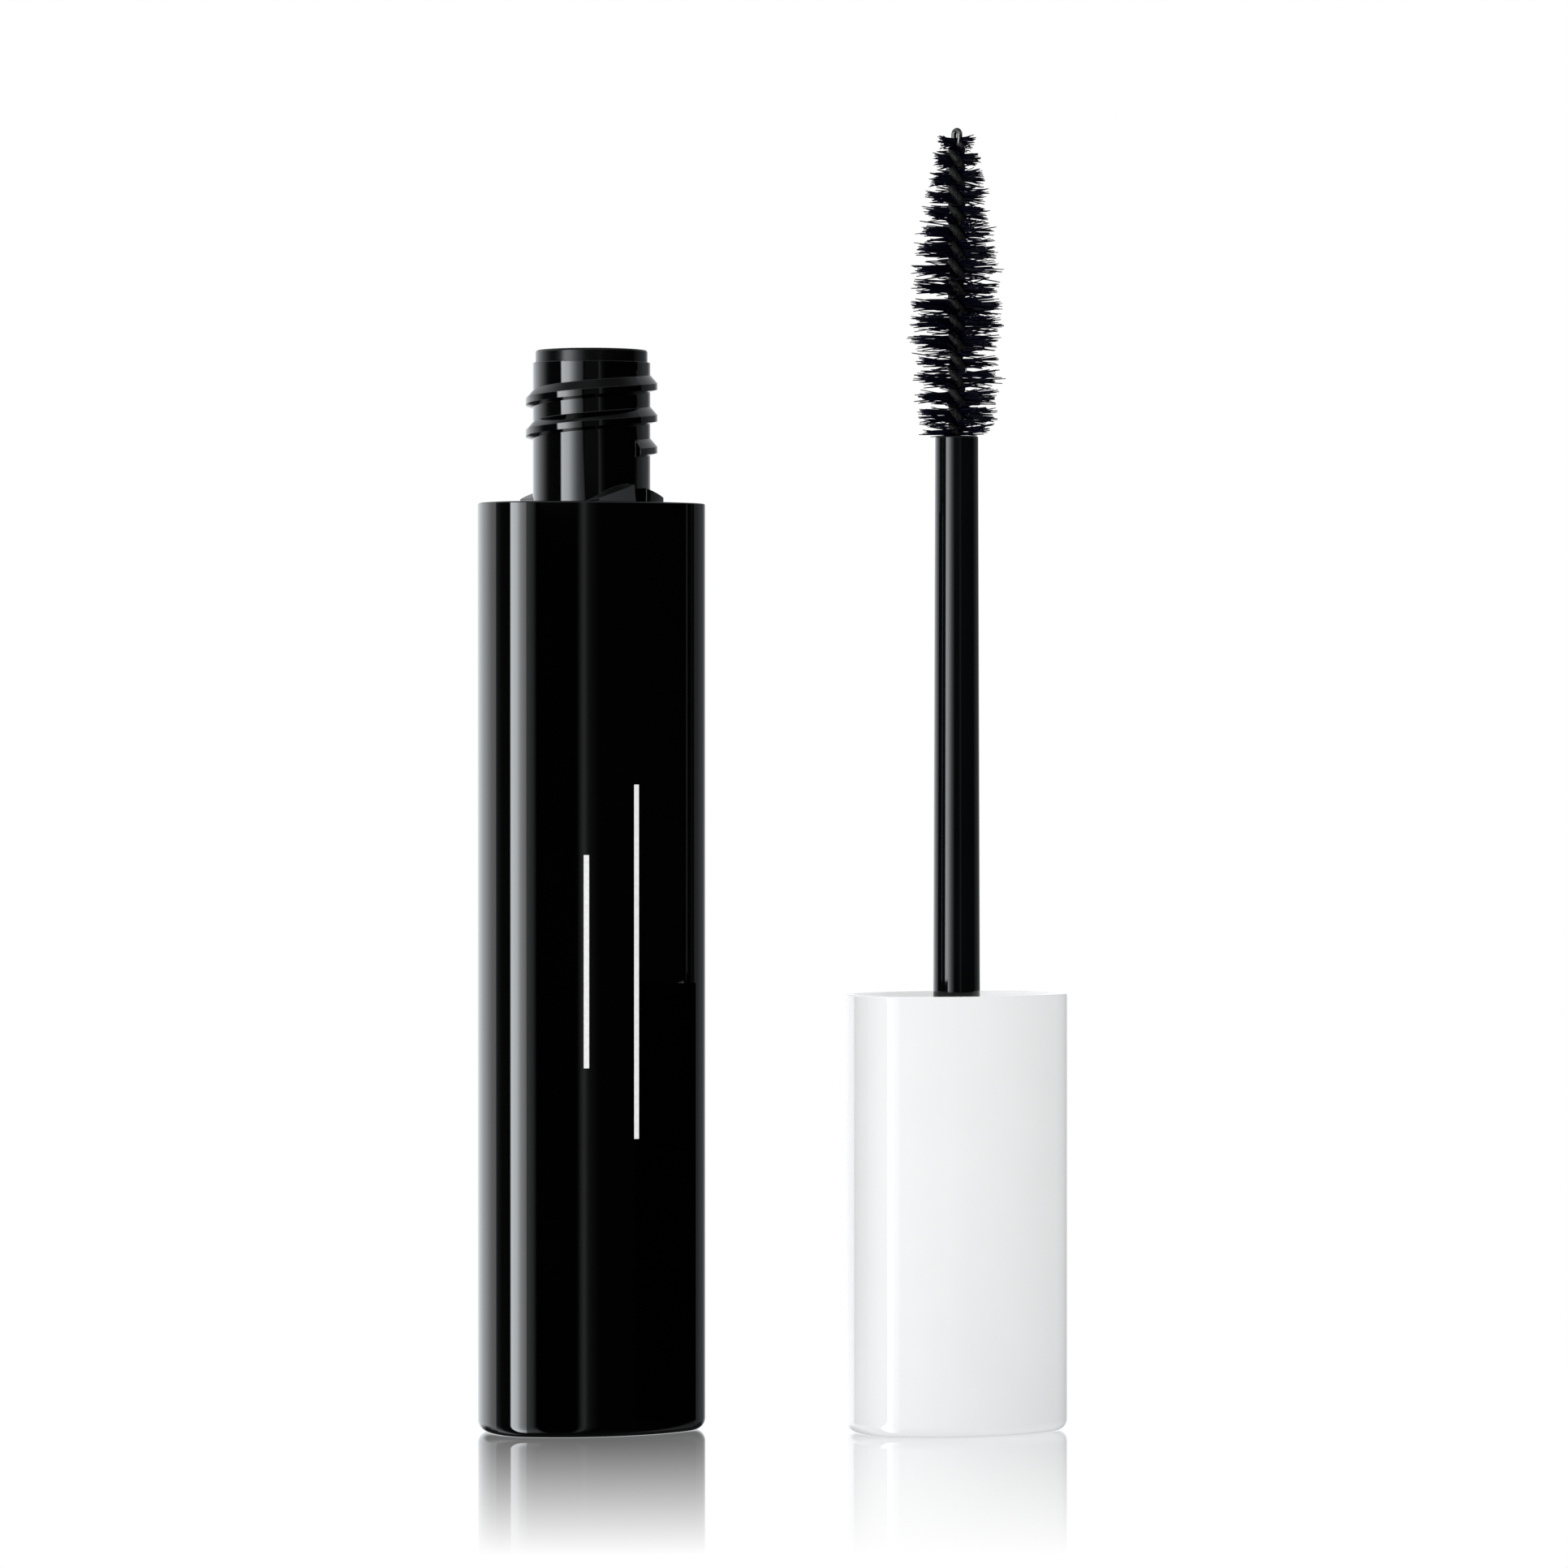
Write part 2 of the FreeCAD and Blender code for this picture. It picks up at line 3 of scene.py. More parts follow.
import bpy
import numpy as np
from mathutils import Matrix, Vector


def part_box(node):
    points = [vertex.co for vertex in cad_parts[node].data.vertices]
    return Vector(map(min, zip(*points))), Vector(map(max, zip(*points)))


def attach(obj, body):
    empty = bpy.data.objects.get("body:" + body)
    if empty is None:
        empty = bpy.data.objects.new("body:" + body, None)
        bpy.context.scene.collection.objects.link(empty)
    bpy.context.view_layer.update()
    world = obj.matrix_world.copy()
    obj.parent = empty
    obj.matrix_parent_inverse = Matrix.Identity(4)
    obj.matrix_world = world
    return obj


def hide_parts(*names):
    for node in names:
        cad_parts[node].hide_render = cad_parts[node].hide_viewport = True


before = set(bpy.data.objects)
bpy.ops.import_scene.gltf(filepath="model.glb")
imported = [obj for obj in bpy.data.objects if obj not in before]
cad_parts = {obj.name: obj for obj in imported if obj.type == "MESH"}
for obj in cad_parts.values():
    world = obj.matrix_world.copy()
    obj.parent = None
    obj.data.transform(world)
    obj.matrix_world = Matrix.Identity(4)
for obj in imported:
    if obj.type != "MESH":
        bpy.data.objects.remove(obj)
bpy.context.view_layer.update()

# An opened mascara tube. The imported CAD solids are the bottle, the cap and the stem. The brush is
# made here: one steel wire folded and twisted, and the nylon fibres it holds. Metres, +Z up.

MM = 0.001
MICRON = 0.000001

# How far the camera stands round from the object's front, and its view's two level directions
TURN = math.radians(21.0)
TOWARD = Vector((-math.sin(TURN), -math.cos(TURN), 0.0))
ACROSS = Vector((math.cos(TURN), -math.sin(TURN), 0.0))

# Camera: where it stands, measured from the bottle's axis.
CAMERA_LENS = 162.0
CAMERA_ACROSS = 16.6 * MM
CAMERA_DISTANCE = 609.0 * MM
CAMERA_HEIGHT = 61.0 * MM
AIM_HEIGHT = 55.8 * MM

# Studio, as radiance by the angle round the object, from the camera (0) to its right (90 degrees).
STUDIO_PEAK = 16.0
STUDIO_BANDS = [
    (-180.0, 1.06),
    (-157.0, 1.6),
    (-144.0, 1.9),
    (-127.0, 1.9),
    (-109.0, 1.0),
    (-101.0, 0.42),
    (-99.5, 0.38),
    (-97.0, 0.26),
    (-95.5, 0.14),
    (-88.0, 0.04),
    (-61.0, 0.03),
    (-59.5, 12.5),
    (-53.0, 11.5),
    (-44.0, 10.0),
    (-40.0, 7.6),
    (-34.0, 4.5),
    (-27.0, 2.0),
    (-22.0, 1.3),
    (-19.0, 0.85),
    (-16.0, 0.8),
    (-14.8, 0.003),
    (12.5, 0.003),
    (14.5, 0.2),
    (16.8, 0.5),
    (20.0, 0.11),
    (27.0, 0.01),
    (98.0, 0.005),
    (100.5, 0.17),
    (114.0, 0.23),
    (127.0, 0.3),
    (146.0, 0.26),
    (172.0, 1.06),
]

# Where the bands end, above and below the horizon, and the shaded floor behind the object. Degrees.
BAND_TOP = (9.0, 15.0)
BAND_FOOT = (45.0, 75.0)
FLOOR_SHADOW_EDGE = (110.0, 140.0)
FLOOR_SHADOW_FALL = (9.0, 22.0)
HORIZON = (-1.0, 1.0)

# Faint card in front of the object, and the broad light above it
CARD_EDGE_ELEVATION = (1.7, 2.0)
CARD_HALF_WIDTH = 12.0
CARD_RADIANCE = 0.09
TOP_RADIANCE = 0.9
TOP_SWING = 0.3
TOP_SWING_CENTRE = -70.0
ZENITH_SHARE = 0.2
ZENITH_ELEVATION = (32.0, 68.0)
BELOW_RADIANCE = 0.04
LIGHT_TINT = (0.96, 1.0, 1.035)

# Light for matt surfaces, as radiance: even, more from the left, less from the right and behind.
FILL_RADIANCE = 1.07
FILL_SHADE = 1.0
FILL_SHADE_EDGE = (58.0, 98.0)
FILL_SHADE_END = (130.0, 165.0)
FILL_LEFT = 1.35
FILL_LEFT_EDGE = (30.0, 95.0)
FILL_LEFT_END = (115.0, 150.0)
FILL_REAR = 0.4
FILL_REAR_EDGE = (115.0, 155.0)

# Black flag beside the bottle that keeps the cap out of the bottle's reflections
FLAG_ACROSS = 16.6 * MM
FLAG_TOWARD = (-1.5 * MM, 16.0 * MM)
FLAG_HEIGHT = 38.4 * MM

# Painted glow on the cap's inner faces, as radiance, standing in for light that comes through the
# cap's white wall
PAINTED_INNER_GLOW = 0.3

# Radius that the shading gives to the neck's sharp moulded edges
EDGE_ROUND = 0.09 * MM

# Floor: white, with a mirror image that fades away from the object, and when seen from above
FLOOR_RADIUS = 0.6
FLOOR_SIDES = 96
FLOOR_DROP = 0.01 * MM
MIRROR_START = 9.0 * MM
MIRROR_FADE = 83.0 * MM
MIRROR_GREY = 0.41
MIRROR_GAMMA = 2.2
MIRROR_POWER = 4.0
MIRROR_FACING = 0.656
MIRROR_ROUGHNESS = 0.02

# Brush: rows of fibres, counted down from the tip, that point across the view. Half-widths in mm.
PITCH = 3.15 * MM
ROW_COUNT = 17
ROW_REACH = [
    1.6, 2.0, 2.3, 2.65, 3.0, 3.2, 3.4, 3.8, 3.6,
    4.1, 4.05, 3.95, 3.7, 3.75, 3.5, 3.5, 3.15,
]
TOP_ROW_DROP = 0.65 * MM

# Brush fibres
FIBRE_SEED = 11
FIBRES_PER_ROW = 80
FIBRE_RADIUS = 0.058 * MM
FIBRE_RADIUS_RANGE = (0.8, 1.15)
FIBRE_SIDES = 5
FIBRE_STATIONS = np.array([0.0, 0.3, 0.62, 0.86, 1.0])
FIBRE_THICKNESS = np.array([1.0, 1.0, 0.95, 0.85, 0.62])
FIBRE_BEND = 1.15
FIBRE_FAN = 0.46
FIBRE_LIFT = 0.27 * MM
FIBRE_REACH_RANGE = (0.8, 1.06)
FIBRES_ABOVE_TOP_ROW = 0.28 * MM
FIBRES_BELOW_LAST_ROW = 0.22 * MM
FRONT_THINNING = 0.62
STRAY_SHARE = 0.04
STRAY_REACH = 1.08

# Clumps that the fibres' ends lean into
CLUMP_SIZE = 0.24 * MM
CLUMP_MIXING = 0.35
CLUMP_TURN = 0.10
CLUMP_LIFT = 0.12 * MM
CLUMP_REACH_RANGE = (0.90, 1.06)
CLUMP_PULL_RANGE = (0.0, 0.4)

# Brush wire. The pairs are where a change starts and ends, as heights from the row or fold named.
WIRE_RADIUS = 0.235 * MM
WIRE_SIDES = 14
WIRE_RINGS = 520
WIRE_IN_STEM = 3.0 * MM
STRAND_OFFSET = 0.25 * MM
SLEEVED_RADIUS = 0.36 * MM
SLEEVED_OFFSET = 0.38 * MM
SLEEVE_FROM_LAST_ROW = (-0.5 * MM, 0.5 * MM)
SLEEVE_TO_TOP_ROW = (-0.8 * MM, -0.2 * MM)
SLEEVE_LUMPS = 0.07
LUMP_WAVES = (9.1, 3.7)
RESIDUE_FROM_LAST_ROW = -0.4 * MM
RESIDUE_TO_TOP_ROW = -0.3 * MM
LOOP_RADIUS = 0.34 * MM
LOOP_STEPS = 16
LOOP_WIDENS_AT_FOLD = (-0.9 * MM, -0.2 * MM)
LOOP_OPENS_BELOW = 0.4 * MM

# Printed lines on the bottle's front: offset across, lowest point, highest point
SLEEVE_FACE_RADIUS = 14.98 * MM
PRINT_LINES = {
    "print_line_long": (1.63 * MM, 25.5 * MM, 55.8 * MM),
    "print_line_short": (-2.85 * MM, 31.6 * MM, 49.8 * MM),
}
PRINT_WIDTH = 0.45 * MM
PRINT_LIFT = 0.012 * MM
PRINT_COLUMNS = 5
PRINT_STEPS = 24

# Moulded plastics by CAD node. The colour drifts slowly to drift; smudge is what smudges add to the
# roughness; peel and grain are the depths of the orange peel and of the fine drag marks; speck is
# how much lighter the dust is; shine is the specular level; edge rounds the shading of the edges.
PLASTICS = {
    "outer_sleeve": {
        "name": "sleeve_gloss_black",
        "colour": (0.0001, 0.0001, 0.00012), "drift": (0.0003, 0.0003, 0.00035),
        "roughness": 0.02, "smudge": 0.02,
        "peel": 0.3 * MICRON, "grain": 0.05 * MICRON, "speck": 0.0006,
    },
    "inner_bottle": {
        "name": "neck_black",
        "colour": (0.0001, 0.0001, 0.00012), "drift": (0.0004, 0.0004, 0.00045),
        "roughness": 0.03, "smudge": 0.03,
        "peel": 0.8 * MICRON, "grain": 0.2 * MICRON, "speck": 0.001,
        "shine": 0.42, "edge": EDGE_ROUND,
    },
    "wiper": {
        "name": "wiper_black",
        "colour": (0.0003, 0.0003, 0.0004), "drift": (0.0008, 0.0008, 0.0009),
        "roughness": 0.2, "smudge": 0.06,
        "peel": 1.2 * MICRON, "grain": 0.3 * MICRON, "speck": 0.003,
        "shine": 0.2,
    },
    "cap_shell": {
        "name": "cap_gloss_white",
        "colour": (0.84, 0.85, 0.855), "drift": (0.86, 0.87, 0.875),
        "roughness": 0.03, "smudge": 0.02,
        "peel": 0.1 * MICRON, "grain": 0.03 * MICRON, "speck": -0.03,
        "shine": 0.3,
    },
    "inner_cap": {
        "name": "liner_satin_white",
        "colour": (0.80, 0.81, 0.81), "drift": (0.84, 0.85, 0.85),
        "roughness": 0.32, "smudge": 0.1,
        "peel": 3.0 * MICRON, "grain": 1.0 * MICRON, "speck": -0.03,
    },
    "stem": {
        "name": "stem_gloss_black",
        "colour": (0.0016, 0.0018, 0.0021), "drift": (0.0022, 0.0025, 0.0029),
        "roughness": 0.04, "smudge": 0.03,
        "peel": 0.2 * MICRON, "grain": 0.05 * MICRON, "speck": 0.005,
        "shine": 0.26,
    },
}


def node_tree(name):
    """A new material, its tree and its Principled shader."""
    material = bpy.data.materials.new(name)
    material.use_nodes = True
    tree = material.node_tree
    return material, tree, tree.nodes["Principled BSDF"]


class Maths:
    """Short names for the arithmetic nodes of one tree."""

    def __init__(self, tree):
        self.tree = tree

    def number(self, operation, *values):
        node = self.tree.nodes.new("ShaderNodeMath")
        node.operation = operation
        for socket, value in zip(node.inputs, values):
            if isinstance(value, (int, float)):
                socket.default_value = value
            else:
                self.tree.links.new(value, socket)
        return node.outputs[0]

    def inverse(self, share):
        return self.number("SUBTRACT", 1.0, share)

    def dot(self, vector, fixed):
        node = self.tree.nodes.new("ShaderNodeVectorMath")
        node.operation = "DOT_PRODUCT"
        self.tree.links.new(vector, node.inputs[0])
        node.inputs[1].default_value = fixed
        return node.outputs["Value"]

    def step(self, value, low, high):
        node = self.tree.nodes.new("ShaderNodeMapRange")
        node.interpolation_type = "SMOOTHSTEP"
        node.inputs["From Min"].default_value = low
        node.inputs["From Max"].default_value = high
        self.tree.links.new(value, node.inputs["Value"])
        return node.outputs["Result"]

    def between(self, value, rise, fall):
        return self.number("SUBTRACT", self.step(value, *rise), self.step(value, *fall))


def place_texture(tree, scale, stretch=(1.0, 1.0, 1.0)):
    """Object coordinates, stretched and scaled to features per metre."""
    coordinates = tree.nodes.new("ShaderNodeTexCoord")
    mapping = tree.nodes.new("ShaderNodeMapping")
    mapping.inputs["Scale"].default_value = [scale * share for share in stretch]
    tree.links.new(coordinates.outputs["Object"], mapping.inputs["Vector"])
    return mapping.outputs["Vector"]


def noise(tree, scale, detail=3.0, stretch=(1.0, 1.0, 1.0)):
    texture = tree.nodes.new("ShaderNodeTexNoise")
    texture.inputs["Scale"].default_value = 1.0
    texture.inputs["Detail"].default_value = detail
    tree.links.new(place_texture(tree, scale, stretch), texture.inputs["Vector"])
    return texture.outputs["Fac"]


def spread(tree, value, low, high, from_low=0.3, from_high=0.7):
    """Map a noise value to a range of numbers."""
    remap = tree.nodes.new("ShaderNodeMapRange")
    remap.inputs["From Min"].default_value = from_low
    remap.inputs["From Max"].default_value = from_high
    remap.inputs["To Min"].default_value = low
    remap.inputs["To Max"].default_value = high
    tree.links.new(value, remap.inputs["Value"])
    return remap.outputs["Result"]


def blend_colours(tree, factor, first, second):
    mix = tree.nodes.new("ShaderNodeMix")
    mix.data_type = "RGBA"
    tree.links.new(factor, mix.inputs["Factor"])
    # Sockets 6 and 7 are the node's two colours, and output 2 is the mixed one.
    for socket, colour in ((mix.inputs[6], first), (mix.inputs[7], second)):
        if isinstance(colour, tuple):
            socket.default_value = (*colour, 1.0)
        else:
            tree.links.new(colour, socket)
    return mix.outputs[2]


def bump(tree, height, distance, before=None):
    node = tree.nodes.new("ShaderNodeBump")
    node.inputs["Strength"].default_value = 1.0
    node.inputs["Distance"].default_value = distance
    tree.links.new(height, node.inputs["Height"])
    if before:
        tree.links.new(before, node.inputs["Normal"])
    return node.outputs["Normal"]


def cells(tree, per_metre):
    """Distance to the nearest of many scattered points."""
    texture = tree.nodes.new("ShaderNodeTexVoronoi")
    texture.inputs["Scale"].default_value = 1.0
    tree.links.new(place_texture(tree, per_metre), texture.inputs["Vector"])
    return texture.outputs["Distance"]


def specks(tree, per_metre, size):
    """Sparse round dust specks: 1 in a speck and 0 elsewhere."""
    return spread(tree, cells(tree, per_metre), 1.0, 0.0, size * 0.5, size)


def moulded_plastic(
    name, colour, drift, roughness, smudge, peel, grain, speck, shine=0.5, edge=0.0
):
    """Glossy moulded plastic: slow colour drift, smudges, dust, orange peel and fine drag marks."""
    material, tree, shader = node_tree(name)
    base = blend_colours(tree, spread(tree, noise(tree, 120.0, 2.0), 0.0, 1.0), colour, drift)
    dust = tuple(min(1.0, part + speck) for part in colour)
    dusty = blend_colours(tree, specks(tree, 900.0, 0.04), base, dust)
    tree.links.new(dusty, shader.inputs["Base Color"])
    smudges = spread(tree, noise(tree, 260.0, 5.0, (1.0, 1.0, 0.45)), roughness, roughness + smudge)
    tree.links.new(smudges, shader.inputs["Roughness"])
    shader.inputs["Specular IOR Level"].default_value = shine
    rounded = None
    if edge:
        bevel = tree.nodes.new("ShaderNodeBevel")
        bevel.samples = 6
        bevel.inputs["Radius"].default_value = edge
        rounded = bevel.outputs["Normal"]
    skin = bump(tree, noise(tree, 900.0, 2.0), peel, rounded)
    skin = bump(tree, noise(tree, 9000.0, 3.0, (1.0, 1.0, 0.03)), grain, skin)
    tree.links.new(skin, shader.inputs["Normal"])
    return material


def paint_inner_glow(material, centre, glow):
    """Painted glow: a faint white emission on the faces that look at the axis, standing in for
    light through a thin white wall.
    """
    tree = material.node_tree
    place = tree.nodes.new("ShaderNodeTexCoord")
    outward = tree.nodes.new("ShaderNodeVectorMath")
    outward.operation = "SUBTRACT"
    tree.links.new(place.outputs["Object"], outward.inputs[0])
    outward.inputs[1].default_value = centre
    facing = tree.nodes.new("ShaderNodeVectorMath")
    facing.operation = "DOT_PRODUCT"
    tree.links.new(outward.outputs["Vector"], facing.inputs[0])
    tree.links.new(place.outputs["Normal"], facing.inputs[1])
    shader = tree.nodes["Principled BSDF"]
    # Painted glow: white emission on the inner faces, lifting their shade; the wall is no lamp
    shader.inputs["Emission Color"].default_value = (1.0, 1.0, 1.0, 1.0)
    painted_glow = spread(tree, facing.outputs["Value"], glow, 0.0, -1.0 * MM, 0.0)
    tree.links.new(painted_glow, shader.inputs["Emission Strength"])


def paste_material():
    material, tree, shader = node_tree("wet_paste")
    tone = spread(tree, noise(tree, 700.0, 4.0), 0.0, 1.0)
    colour = blend_colours(tree, tone, (0.003, 0.003, 0.004), (0.012, 0.011, 0.012))
    tree.links.new(colour, shader.inputs["Base Color"])
    shader.inputs["Roughness"].default_value = 0.22
    swirl = bump(tree, noise(tree, 420.0, 5.0, (1.0, 1.0, 0.4)), 180 * MICRON)
    tree.links.new(swirl, shader.inputs["Normal"])
    return material


def foam_material():
    material, tree, shader = node_tree("washer_foam")
    tone = spread(tree, noise(tree, 2600.0, 3.0), 0.0, 1.0)
    colour = blend_colours(tree, tone, (0.62, 0.62, 0.60), (0.78, 0.78, 0.77))
    tree.links.new(colour, shader.inputs["Base Color"])
    shader.inputs["Roughness"].default_value = 0.75
    tree.links.new(bump(tree, cells(tree, 6000.0), 40 * MICRON), shader.inputs["Normal"])
    return material


def wire_material(low, high):
    """Drawn steel, coated with dark residue between two heights, where the fibres are."""
    material, tree, shader = node_tree("wire")
    maths = Maths(tree)
    coordinates = tree.nodes.new("ShaderNodeTexCoord")
    parts = tree.nodes.new("ShaderNodeSeparateXYZ")
    tree.links.new(coordinates.outputs["Object"], parts.inputs["Vector"])
    above = spread(tree, parts.outputs["Z"], 0.0, 1.0, low - 0.2 * MM, low + 0.2 * MM)
    below = spread(tree, parts.outputs["Z"], 1.0, 0.0, high - 0.25 * MM, high + 0.15 * MM)
    coat = maths.number("MULTIPLY", above, below)
    residue = spread(tree, noise(tree, 5200.0, 4.0, (1.0, 1.0, 0.35)), 0.0, 1.0)
    dark = blend_colours(tree, residue, (0.002, 0.002, 0.0022), (0.009, 0.0085, 0.008))
    colour = blend_colours(tree, coat, (0.10, 0.098, 0.095), dark)
    tree.links.new(colour, shader.inputs["Base Color"])
    tree.links.new(spread(tree, coat, 1.0, 0.0, 0.0, 1.0), shader.inputs["Metallic"])
    tree.links.new(spread(tree, coat, 0.3, 0.6, 0.0, 1.0), shader.inputs["Roughness"])
    lumps = maths.number("MULTIPLY", noise(tree, 5200.0, 3.0, (1.0, 1.0, 0.3)), coat)
    tree.links.new(bump(tree, lumps, 160 * MICRON), shader.inputs["Normal"])
    shader.inputs["Specular IOR Level"].default_value = 0.2
    return material


def fibre_material():
    material, tree, shader = node_tree("nylon_fibre")
    tone = spread(tree, noise(tree, 1800.0, 3.0), 0.0, 1.0)
    colour = blend_colours(tree, tone, (0.0006, 0.0005, 0.004), (0.002, 0.0018, 0.010))
    tree.links.new(colour, shader.inputs["Base Color"])
    tree.links.new(spread(tree, noise(tree, 900.0, 2.0), 0.32, 0.5), shader.inputs["Roughness"])
    shader.inputs["Specular IOR Level"].default_value = 0.07
    tree.links.new(bump(tree, noise(tree, 16000.0, 2.0), 6 * MICRON), shader.inputs["Normal"])
    return material


def ink_material():
    material, tree, shader = node_tree("print_ink")
    tone = spread(tree, noise(tree, 3000.0, 3.0), 0.0, 1.0)
    colour = blend_colours(tree, tone, (0.80, 0.80, 0.80), (0.90, 0.90, 0.90))
    tree.links.new(colour, shader.inputs["Base Color"])
    shader.inputs["Roughness"].default_value = 0.45
    tree.links.new(bump(tree, noise(tree, 12000.0, 2.0), 4 * MICRON), shader.inputs["Normal"])
    return material


def mesh_piece(name, verts, faces, material, body, smooth=True):
    mesh = bpy.data.meshes.new(name)
    mesh.from_pydata(verts, [], faces)
    mesh.validate()
    mesh.update()
    if smooth:
        mesh.polygons.foreach_set("use_smooth", [True] * len(mesh.polygons))
    piece = bpy.data.objects.new(name, mesh)
    bpy.context.scene.collection.objects.link(piece)
    mesh.materials.append(material)
    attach(piece, body)
    return piece


def give(node, material):
    """Put a material on a CAD node."""
    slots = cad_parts[node].material_slots
    if not slots:
        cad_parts[node].data.materials.append(material)
        return
    for slot in slots:
        slot.material = material


def tube(path, radii, sides):
    """A closed tube of rings round a path. The rings keep one sense, so it doesn't twist."""
    path = np.array(path)
    along = np.gradient(path, axis=0)
    along /= np.linalg.norm(along, axis=1)[:, None]
    side = np.cross(along[0], (0.0, 1.0, 0.0))
    side /= np.linalg.norm(side)
    verts = []
    for point, direction, radius in zip(path, along, radii):
        side = side - direction * side.dot(direction)
        side /= np.linalg.norm(side)
        other = np.cross(direction, side)
        for number in range(sides):
            angle = 2 * math.pi * number / sides
            verts.append(point + radius * (math.cos(angle) * side + math.sin(angle) * other))
    faces = []
    for ring in range(len(path) - 1):
        for number in range(sides):
            here = ring * sides + number
            beside = ring * sides + (number + 1) % sides
            faces.append((here, beside, beside + sides, here + sides))
    faces.append(tuple(range(sides))[::-1])
    last = (len(path) - 1) * sides
    faces.append(tuple(range(last, last + sides)))
    return [tuple(v) for v in verts], faces


cap_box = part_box("cap_shell")
BRUSH_AXIS = (cap_box[0] + cap_box[1]) / 2
BRUSH_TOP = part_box("bristles")[1].z


def row_height(row):
    """Height of a row of fibres that points across the view, counted down from the tip."""
    return BRUSH_TOP - TOP_ROW_DROP - row * PITCH / 2


def fibre_angle(height):
    """Direction of the fibres at a height: left-handed, across the view at each row."""
    return -TURN - 2 * math.pi * (height - row_height(0)) / PITCH


def reach_at(height):
    """Half-width of the brush at a height."""
    place = (row_height(0) - height) / (PITCH / 2)
    return np.interp(place, range(ROW_COUNT), ROW_REACH) * MM


def smooth_step(value, low, high):
    share = np.clip((value - low) / (high - low), 0.0, 1.0)
    return share * share * (3 - 2 * share)


def make_wire():
    """One wire folded in half and twisted, thicker where it is bedded in fibres and residue."""
    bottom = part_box("stem")[1].z - WIRE_IN_STEM
    fibres_low = row_height(ROW_COUNT - 1)
    fibres_high = row_height(0)
    untwisted = fibres_high - LOOP_OPENS_BELOW
    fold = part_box("wire_core")[1].z - WIRE_RADIUS - LOOP_RADIUS
    heights = np.linspace(bottom, fold, WIRE_RINGS)
    bedded = smooth_step(heights, *[fibres_low + place for place in SLEEVE_FROM_LAST_ROW])
    bedded *= 1 - smooth_step(heights, *[fibres_high + place for place in SLEEVE_TO_TOP_ROW])
    widening = smooth_step(heights, *[fold + place for place in LOOP_WIDENS_AT_FOLD])
    offsets = STRAND_OFFSET + (SLEEVED_OFFSET - STRAND_OFFSET) * bedded
    offsets += (LOOP_RADIUS - STRAND_OFFSET) * widening
    quick, slow = LUMP_WAVES
    lumps = SLEEVE_LUMPS * np.sin(heights / MM * quick) * np.sin(heights / MM * slow + 1.0)
    radii = (WIRE_RADIUS + (SLEEVED_RADIUS - WIRE_RADIUS) * bedded) * (1 + lumps * bedded)
    angles = fibre_angle(np.minimum(heights, untwisted)) + math.pi / 2
    strands = []
    for half in (0.0, math.pi):
        x = offsets * np.cos(angles + half)
        y = offsets * np.sin(angles + half)
        strands.append(np.stack([x, y, heights], 1))
    turn = angles[-1]
    bow = []
    for step in range(1, LOOP_STEPS):
        share = math.pi * step / LOOP_STEPS
        out = LOOP_RADIUS * math.cos(share)
        rise = LOOP_RADIUS * math.sin(share)
        bow.append((out * math.cos(turn), out * math.sin(turn), fold + rise))
    path = np.concatenate([strands[0], np.array(bow), strands[1][::-1]])
    path[:, 0] += BRUSH_AXIS.x
    path[:, 1] += BRUSH_AXIS.y
    all_radii = np.concatenate([radii, np.full(len(bow), WIRE_RADIUS), radii[::-1]])
    verts, faces = tube(path, all_radii, WIRE_SIDES)
    low, high = fibres_low + RESIDUE_FROM_LAST_ROW, fibres_high + RESIDUE_TO_TOP_ROW
    material = wire_material(low, high)
    wire = mesh_piece("twisted_wire", verts, faces, material, "applicator")
    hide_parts("wire_core")


def make_fibres():
    """Fibres across the wire, caught between its strands. Their ends lean into ragged clumps."""
    random = np.random.RandomState(FIBRE_SEED)
    top = row_height(0) + FIBRES_ABOVE_TOP_ROW
    bottom = row_height(ROW_COUNT - 1) - FIBRES_BELOW_LAST_ROW
    heights = np.sort(random.uniform(bottom, top, FIBRES_PER_ROW * ROW_COUNT))
    clump_count = int((top - bottom) / CLUMP_SIZE) + 2
    verts, faces = [], []
    for side in (0.0, math.pi):
        clump_turn = random.normal(0.0, CLUMP_TURN, clump_count)
        clump_lift = random.normal(0.0, CLUMP_LIFT, clump_count)
        clump_reach = random.uniform(*CLUMP_REACH_RANGE, clump_count)
        for height in heights:
            clump = int((height - bottom) / CLUMP_SIZE + random.normal(0.0, CLUMP_MIXING))
            clump = min(max(clump, 0), clump_count - 1)
            clump_height = bottom + (clump + 0.5) * CLUMP_SIZE
            pull = random.uniform(*CLUMP_PULL_RANGE)
            angle = fibre_angle(height) + random.normal(0.0, FIBRE_FAN)
            angle_change = (fibre_angle(clump_height) + clump_turn[clump] - angle) * pull
            lift = random.normal(0.0, FIBRE_LIFT)
            height_change = lift + (clump_height + clump_lift[clump] - height) * pull
            reach = reach_at(height) * clump_reach[clump] * random.uniform(*FIBRE_REACH_RANGE)
            if random.rand() < FRONT_THINNING * abs(math.sin(angle + TURN)) ** 2:
                continue
            if random.rand() < STRAY_SHARE:
                reach *= STRAY_REACH
            path = []
            for share in FIBRE_STATIONS:
                eased = share ** FIBRE_BEND
                here = angle + angle_change * eased + side
                x = BRUSH_AXIS.x + reach * share * math.cos(here)
                y = BRUSH_AXIS.y + reach * share * math.sin(here)
                path.append((x, y, height + height_change * eased))
            radius = FIBRE_RADIUS * random.uniform(*FIBRE_RADIUS_RANGE)
            add_fibre(verts, faces, path, radius * FIBRE_THICKNESS)
    material = fibre_material()
    piece = mesh_piece("nylon_fibres", verts, faces, material, "applicator")
    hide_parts("bristles")


